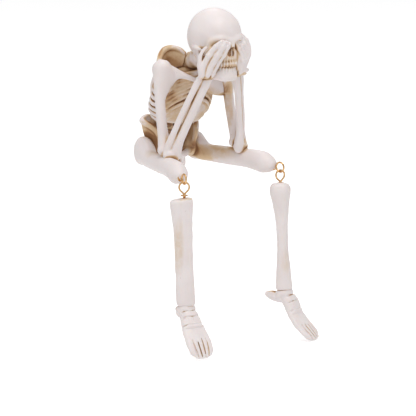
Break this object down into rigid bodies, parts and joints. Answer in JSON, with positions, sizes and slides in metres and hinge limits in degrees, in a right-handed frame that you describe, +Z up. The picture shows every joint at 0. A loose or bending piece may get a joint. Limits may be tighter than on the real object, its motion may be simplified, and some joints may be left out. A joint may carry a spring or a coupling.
{
  "type": "seated skeleton figure",
  "caption": "Shelf-sitting skeleton figure with hands over the eyes and lower legs hanging from linked screw eyes at the knees.",
  "frame": {"origin": "on the mid-plane, in the seat plane under the hip joints", "axes": "+Z up, the figure faces -Y, its left side is +X"},
  "size_m": [0.0944, 0.0961, 0.1969],
  "materials": {
    "resin": "warm white cast resin, satin, with a brown antique wash in the recesses",
    "brass_wire": "bright gold-coloured wire",
    "steel_pin": "plain drawn wire"
  },
  "bodies": {
    "figure": {"skull": "resin", "jaw": "resin", "spine": "resin", "rib_cage": "resin", "pelvis": "resin", "right_shoulder_blade": "resin", "left_shoulder_blade": "resin", "right_collarbone": "resin", "left_collarbone": "resin", "right_upper_arm": "resin", "left_upper_arm": "resin", "right_forearm": "resin", "left_forearm": "resin", "right_hand": "resin", "left_hand": "resin", "right_thigh": "resin", "left_thigh": "resin", "neck_pin": "steel_pin", "right_shoulder_pin": "steel_pin", "left_shoulder_pin": "steel_pin", "right_hip_pin": "steel_pin", "left_hip_pin": "steel_pin", "right_wrist_pin": "steel_pin", "left_wrist_pin": "steel_pin", "right_thigh_eye_collar": "brass_wire", "left_thigh_eye_collar": "brass_wire"},
    "right_knee_eye": {"right_thigh_screw_eye": "brass_wire"},
    "right_lower_eye": {"right_shin_screw_eye": "brass_wire"},
    "right_lower_leg": {"right_shin_eye_collar": "brass_wire", "right_shin": "resin", "right_foot": "resin", "right_ankle_pin": "steel_pin"},
    "left_knee_eye": {"left_thigh_screw_eye": "brass_wire"},
    "left_lower_eye": {"left_shin_screw_eye": "brass_wire"},
    "left_lower_leg": {"left_shin_eye_collar": "brass_wire", "left_shin": "resin", "left_foot": "resin", "left_ankle_pin": "steel_pin"}
  },
  "joints": [
    {"name": "right_knee_sway", "type": "hinge", "parent": "figure", "child": "right_knee_eye", "pos_m": [-0.0342, -0.0598, 0.0051], "axis": [0.1994, 0.9799, 0], "range_deg": [-8, 25]},
    {"name": "right_knee_swing", "type": "hinge", "parent": "right_knee_eye", "child": "right_lower_eye", "pos_m": [-0.0351, -0.06421, 0.00333], "axis": [-0.8704, 0.4924, 0], "range_deg": [-20, 80]},
    {"name": "right_shin_turn", "type": "hinge", "parent": "right_lower_eye", "child": "right_lower_leg", "pos_m": [-0.03522, -0.06454, -0.00456], "axis": [-0.016, -0.042, -0.999], "range_deg": [-18, 30]},
    {"name": "left_knee_sway", "type": "hinge", "parent": "figure", "child": "left_knee_eye", "pos_m": [0.0342, -0.0598, 0.0051], "axis": [0.1994, -0.9799, 0], "range_deg": [-8, 25]},
    {"name": "left_knee_swing", "type": "hinge", "parent": "left_knee_eye", "child": "left_lower_eye", "pos_m": [0.0351, -0.06421, 0.00333], "axis": [-0.9936, 0.1132, 0], "range_deg": [-20, 80]},
    {"name": "left_shin_turn", "type": "hinge", "parent": "left_lower_eye", "child": "left_lower_leg", "pos_m": [0.03522, -0.06454, -0.00456], "axis": [-0.016, 0.042, 0.999], "range_deg": [-18, 30]}
  ]
}
